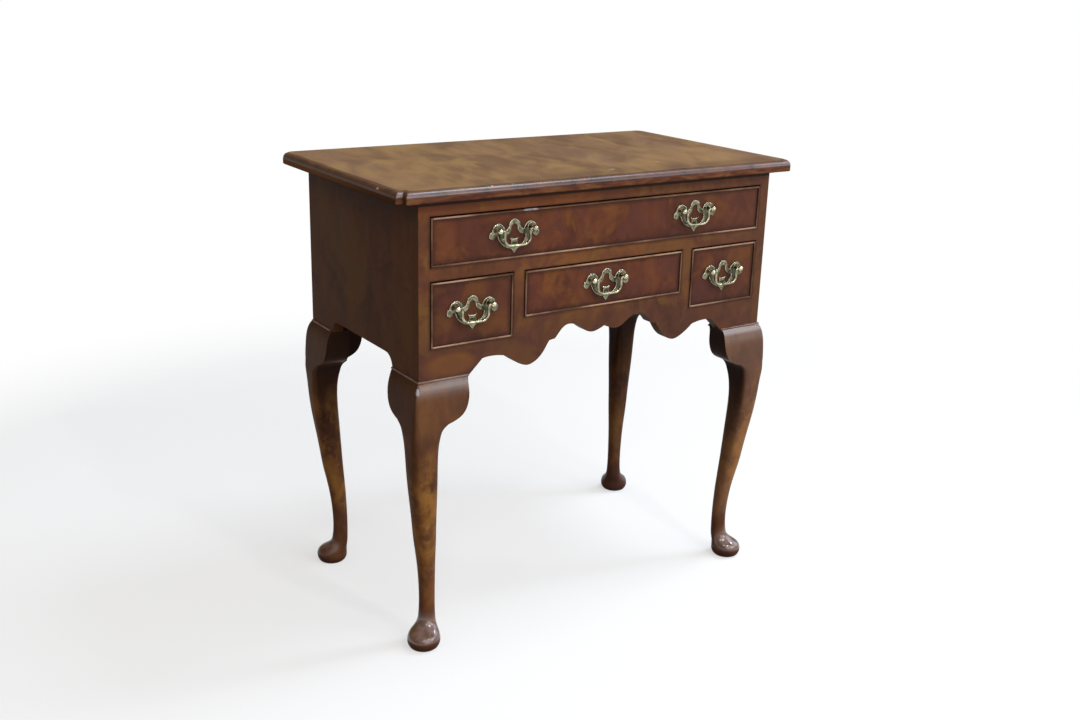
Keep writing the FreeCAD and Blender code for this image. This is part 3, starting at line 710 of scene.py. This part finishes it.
def bright_brass(name, tones, darkness, neck=0.0):
    """Brass that the hand keeps clean above and that is dark below, partly patina and partly painted shade,
    and brown on a post's neck.
    """
    material, g = start_material(name)
    place = g.place()
    tarnish = g.noise(place, 150.0, 4.0, 0.6, 0.4)
    colour = g.ramp(tarnish, list(zip((0.34, 0.5, 0.66), tones)))
    # painted shade, partly patina: darker on the faces turned down
    below = g.step(g.dot(g.normal(), handled_and_lit_side), 0.1, -0.45)
    colour = g.tint(colour, tarnish_and_shade, darkness, below)
    if neck:
        colour = g.tint(colour, neck_brown, neck, g.step(g.axes(place)["Y"], *neck_fade))
    g.surface(base_color=colour, metallic=1.0, roughness=g.rise(0.24, -0.2, tarnish),
              normal=g.bump(tarnish, tarnish_depth))
    return material


def steel(name):
    """Grey screws with a cloudy surface."""
    material, g = start_material(name)
    tarnish = g.noise(g.place(), 300.0, 3.0)
    colour = g.ramp(tarnish, list(zip((0.4, 0.6), steel_tones)))
    g.surface(base_color=colour, metallic=1.0, roughness=0.45, normal=g.bump(tarnish, tarnish_depth))
    return material


# ---------------------------------------------------------------- materials of the pieces
materials = {
    "top": wood("top_wood", "Y", top_walnut, figure=20.0, stretch=0.25, contrast=1.2, streaks=0.14,
                seed=1.3, wear=0.0, arris=0.0035, paint=top_paint, polish=top_polish),
    "side": wood("side_wood", "Z", side_walnut_with_shade, figure=24.0, stretch=0.4, streaks=0.08, seed=4.1,
                 gloss=0.36, specular=0.012, paint=side_paint),
    "case": wood("case_wood", "Z", rail_walnut, figure=32.0, stretch=0.8, glow=0.75, streaks=0.1,
                 seed=3.7, wear=0.2, paint=case_paint, polish=case_polish),
    "leg": wood("leg_wood", "Z", leg_walnut, figure=36.0, stretch=0.4, contrast=1.1, seed=5.5, wear=0.2,
                arris=0.009, paint=leg_paint, polish=leg_polish, rounded=leg_rounding),
    "knee_bead": wood("knee_bead_wood", "X", rail_walnut, figure=60.0, seed=7.1, gloss=0.26, specular=0.3,
                      wear=0.0, paint=knee_bead_paint),
    "lining": wood("lining_wood", "Y", oak, figure=20.0, stretch=0.1, seed=9.2, gloss=0.6, wear=0.0),
    "inside": wood("inside_wood", "X", pine, figure=16.0, stretch=0.1, seed=2.9, gloss=0.65, wear=0.0),
    "plate": plate_brass("plate_brass"),
    "bail": bright_brass("bail_brass", bail_tones, 0.8),
    "post": bright_brass("post_brass", post_tones, 0.5, neck=0.75),
    "steel": steel("screw_steel"),
}
finish_of_slot = {"top_veneer": "top", "case_veneer": "case", "leg_wood": "leg", "drawer_lining": "lining",
                  "secondary_wood": "inside", "steel": "steel"}
finish_of_node = {"side_panel_left": "side", "side_panel_right": "side", "knee_beads": "knee_bead",
                  "glue_blocks": "leg"}

for drawer in drawers:
    front = f"{drawer}_drawer_front"
    bead = f"{drawer}_drawer_cock_bead"
    materials[front] = wood(f"{drawer}_front_wood", "Z", walnut, contrast=0.9, glow=0.75,
                            seed=seed_of(front), paint=drawer_paint(drawer))
    materials[bead] = wood(f"{drawer}_bead_wood", "X", bead_walnut, figure=60.0, seed=seed_of(bead),
                           wear=0.0, paint=bead_paint(drawer))
    finish_of_node[front] = front
    finish_of_node[bead] = bead
    finish_of_node[f"{drawer}_drawer_posts"] = "post"
for handle in handles:
    finish_of_node[f"{handle}_backplate"] = "plate"
    finish_of_node[f"{handle}_bail"] = "bail"

for node, piece in nodes.items():
    finish = finish_of_node.get(node) or finish_of_slot[slot_of[node]]
    piece.data.materials.clear()
    piece.data.materials.append(materials[finish])


# ---------------------------------------------------------------- back plates
# Radius of each ring of a rosette, and how far it stands out from the plate.
rosette_profile = [(0.0050, 0.0002), (0.0057, 0.0010), (0.0063, 0.0014), (0.0068, 0.0004), (0.0075, 0.0013),
                   (0.0082, 0.0010), (0.0087, 0.0)]
rosette_turns = 40
plate_arris = 0.0006
arris_segments = 2
split_gap = 0.00001
sharp_angle = math.radians(40)


def turned(bm, centre, profile, turns):
    """Adds a ring turned from this profile about an axis along Y."""
    rows = []
    for radius, out in profile:
        row = []
        for turn in range(turns):
            angle = math.tau * turn / turns
            row.append(bm.verts.new((centre[0] + radius * math.cos(angle), centre[1] - out,
                                     centre[2] + radius * math.sin(angle))))
        rows.append(row)
    for inner, outer in zip(rows, rows[1:]):
        for turn in range(turns):
            following = (turn + 1) % turns
            bm.faces.new((inner[turn], outer[turn], outer[following], inner[following]))


def rosettes(handle):
    """Two ringed rosettes on one back plate, each round the collar of a post."""
    joint = swing[handle]
    x, _, z = joint["pos_m"]
    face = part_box(f"{handle}_backplate")[0][1]
    bm = bmesh.new()
    for side in (-1, 1):
        turned(bm, (x + side * half_handle_span, face, z), rosette_profile, rosette_turns)
    bmesh.ops.recalc_face_normals(bm, faces=bm.faces)
    for part in bm.faces:
        part.smooth = True
    mesh = bpy.data.meshes.new(f"{handle}_rosettes")
    bm.to_mesh(mesh)
    bm.free()
    mesh.materials.append(materials["plate"])
    piece = bpy.data.objects.new(f"{handle}_rosettes", mesh)
    bpy.context.scene.collection.objects.link(piece)
    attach(piece, joint["parent"])


def rounded_edges(piece):
    """Rounds the arrises of a back plate, once its split faces are joined."""
    weld = piece.modifiers.new("weld", "WELD")
    weld.merge_threshold = split_gap
    bevel = piece.modifiers.new("arris", "BEVEL")
    bevel.width = plate_arris
    bevel.segments = arris_segments
    bevel.limit_method = "ANGLE"
    bevel.angle_limit = sharp_angle


for handle in handles:
    rosettes(handle)
    rounded_edges(nodes[f"{handle}_backplate"])


# ---------------------------------------------------------------- floor and world
half_floor = 12.0
floor_sink = 0.0004
floor_glow_fade = (0.7, 1.9)
paper_seen = (0.96, 0.96, 0.96, 1)
paper_bounce = (0.26, 0.23, 0.2, 1)
white = (1, 1, 1, 1)
room_front = Vector((0.2, -0.9, 0.4)).normalized()
room_tones = [(0.0, (0.34, 0.25, 0.15, 1)), (0.45, (0.24, 0.21, 0.17, 1)), (1.0, (0.48, 0.48, 0.50, 1))]


def white_floor():
    """White paper. The camera and reflections see it glow, fully far from the object and about half near
    it, where its shadow shows. To all other light it is a dimmer and warmer floor without a glow."""
    mesh = bpy.data.meshes.new("floor")
    corners = [(x * half_floor, y * half_floor, 0) for x, y in ((-1, -1), (1, -1), (1, 1), (-1, 1))]
    mesh.from_pydata(corners, [], [(0, 1, 2, 3)])
    floor = bpy.data.objects.new("floor", mesh)
    floor.location.z = -floor_sink
    bpy.context.scene.collection.objects.link(floor)
    material, g = start_material("floor_paper")
    path = g.add("LightPath", {}).outputs
    seen = g.most(path["Is Camera Ray"], path["Is Glossy Ray"], path["Is Transmission Ray"])
    far = g.step(g.length(g.place()), *floor_glow_fade)
    paper = g.add("BsdfDiffuse", {"Color": g.mix(seen, paper_bounce, paper_seen)}).outputs[0]
    glow = g.add("Emission", {"Color": white, "Strength": 1.0}).outputs[0]
    both = g.add("MixShader", {0: g.times(g.most(far, 0.55), seen), 1: paper, 2: glow}).outputs[0]
    g.add("OutputMaterial", {"Surface": both})
    mesh.materials.append(material)


def studio_world():
    """A warm dim room, paler in front of the object. The camera sees white instead, and so do reflections
    at and below the horizon."""
    world = bpy.data.worlds.new("studio")
    bpy.context.scene.world = world
    g = Graph(world)
    direction = g.add("TexCoord", {}).outputs["Generated"]
    room = g.ramp(g.step(g.dot(direction, room_front), -1.0, 1.0), room_tones)
    path = g.add("LightPath", {}).outputs
    mirrored = g.most(path["Is Glossy Ray"], path["Is Transmission Ray"])
    horizon = g.step(g.axes(direction)["Z"], 0.05, 0.01)
    seen = g.most(path["Is Camera Ray"], g.times(mirrored, horizon))
    background = g.add("Background", {"Color": g.mix(seen, room, white), "Strength": 1.0}).outputs[0]
    g.add("OutputWorld", {"Surface": background})


# ---------------------------------------------------------------- lamps and camera
lamp_aim = Vector((0, 0, 0.5))
# Azimuth (0 in front, positive to the right) and elevation in degrees, distance, width and height in
# metres, power in watts, colour.
lamps = {
    "window": (6, 25, 4.5, 4.8, 3.8, 90, (1.0, 0.99, 0.98)),
    "upper": (38, 20, 4.0, 2.6, 1.2, 29, (0.84, 0.92, 1.0)),
    "lamp": (5, 42, 4.0, 0.16, 0.16, 18, (1.0, 1.0, 1.0)),
    "near": (-36, 34, 4.0, 0.4, 0.4, 11, (0.9, 0.94, 1.0)),
    "side": (80, 22, 4.0, 2.2, 2.4, 44, (0.62, 0.78, 1.0)),
    "ceiling": (75, 62, 3.5, 1.1, 1.1, 50, (0.80, 0.90, 1.0)),
    "right": (72, 40, 4.5, 0.4, 0.3, 18, (0.84, 0.92, 1.0)),
}
camera_place = (-1.1848, -1.7652, 1.0798)
camera_yaw, camera_pitch, camera_roll = math.radians(34.09), math.radians(17.872), math.radians(1.639)
camera_lens = 40.68
camera_sensor = 36.0


def softbox(name, azimuth, elevation, distance, width, height, power, colour):
    """Area lamp round the object, aimed at its case."""
    data = bpy.data.lights.new(name, "AREA")
    data.shape = "RECTANGLE"
    data.size, data.size_y = width, height
    data.energy = power
    data.color = colour
    lamp = bpy.data.objects.new(name, data)
    a, e = math.radians(azimuth), math.radians(elevation)
    back = Vector((math.sin(a) * math.cos(e), -math.cos(a) * math.cos(e), math.sin(e)))
    lamp.location = lamp_aim + back * distance
    lamp.rotation_mode = "QUATERNION"
    lamp.rotation_quaternion = back.to_track_quat("Z", "Y")
    bpy.context.scene.collection.objects.link(lamp)


def photo_camera():
    """The photograph's camera: it looks to the right by the yaw and down by the pitch."""
    forward = Vector((math.sin(camera_yaw) * math.cos(camera_pitch),
                      math.cos(camera_yaw) * math.cos(camera_pitch), -math.sin(camera_pitch)))
    level = Vector((math.cos(camera_yaw), -math.sin(camera_yaw), 0))
    upright = level.cross(forward)
    right = level * math.cos(camera_roll) + upright * math.sin(camera_roll)
    up = upright * math.cos(camera_roll) - level * math.sin(camera_roll)
    data = bpy.data.cameras.new("camera")
    data.sensor_width = camera_sensor
    data.lens = camera_lens
    camera = bpy.data.objects.new("camera", data)
    turn = Matrix((right, up, -forward)).transposed()
    camera.matrix_world = Matrix.Translation(camera_place) @ turn.to_4x4()
    bpy.context.scene.collection.objects.link(camera)
    bpy.context.scene.camera = camera


white_floor()
studio_world()
for name, values in lamps.items():
    softbox(name, *values)
photo_camera()
bpy.context.scene.view_settings.view_transform = "Standard"
